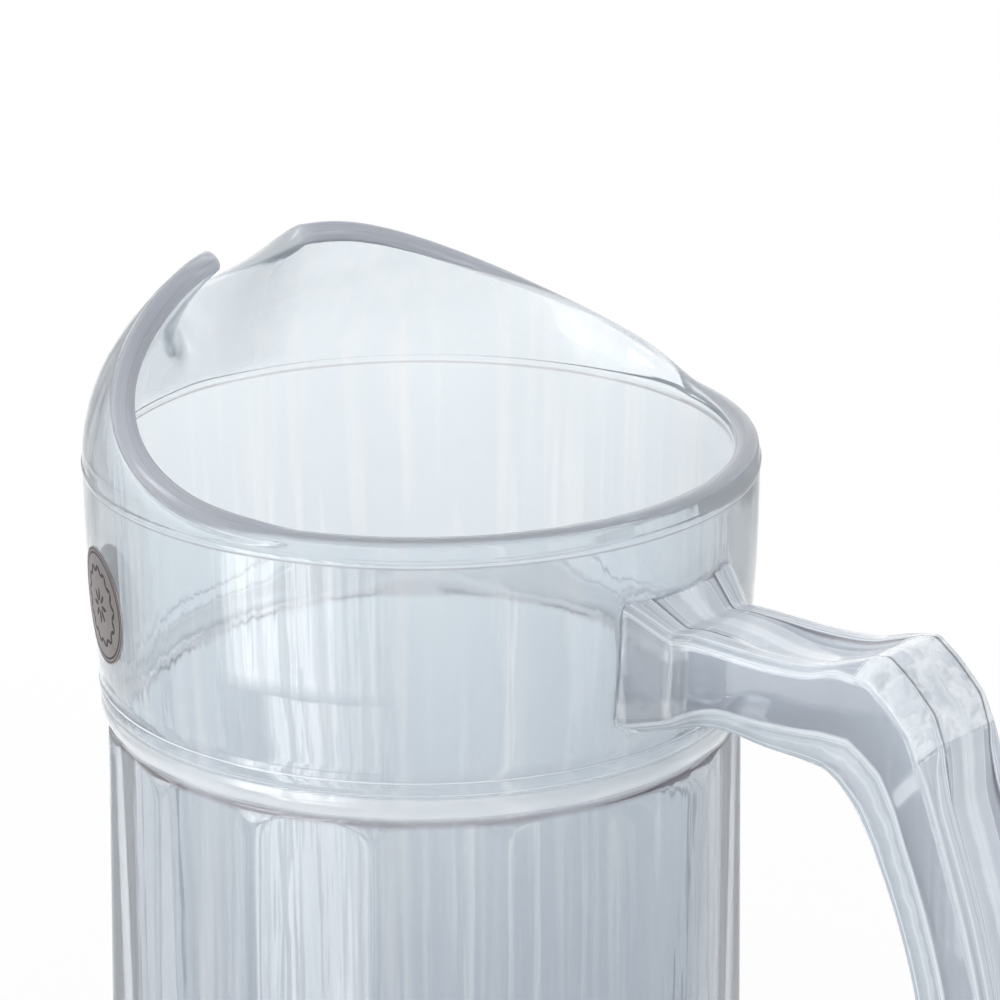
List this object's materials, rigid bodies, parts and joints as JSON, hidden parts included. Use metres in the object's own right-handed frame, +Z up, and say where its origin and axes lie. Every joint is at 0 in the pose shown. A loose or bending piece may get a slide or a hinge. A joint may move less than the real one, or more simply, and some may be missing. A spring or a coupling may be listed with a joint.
{
  "type": "beer pitcher",
  "caption": "Pressed glass beer pitcher with a panelled body, plain collar, raised rim with a pouring lip, thick looped handle and a plain round foil label.",
  "frame": {"origin": "centre of the base on the table", "axes": "+Z up, +X towards the handle, -X towards the pouring lip"},
  "size_m": [0.2103, 0.1308, 0.223],
  "materials": {
    "clear_glass": "clear, fire-polished pressed glass",
    "foil": "satin printed foil"
  },
  "bodies": {
    "root": {"base": "clear_glass", "fluted_wall": "clear_glass", "collar": "clear_glass", "spout_rim": "clear_glass", "handle": "clear_glass", "label": "foil"}
  },
  "joints": []
}
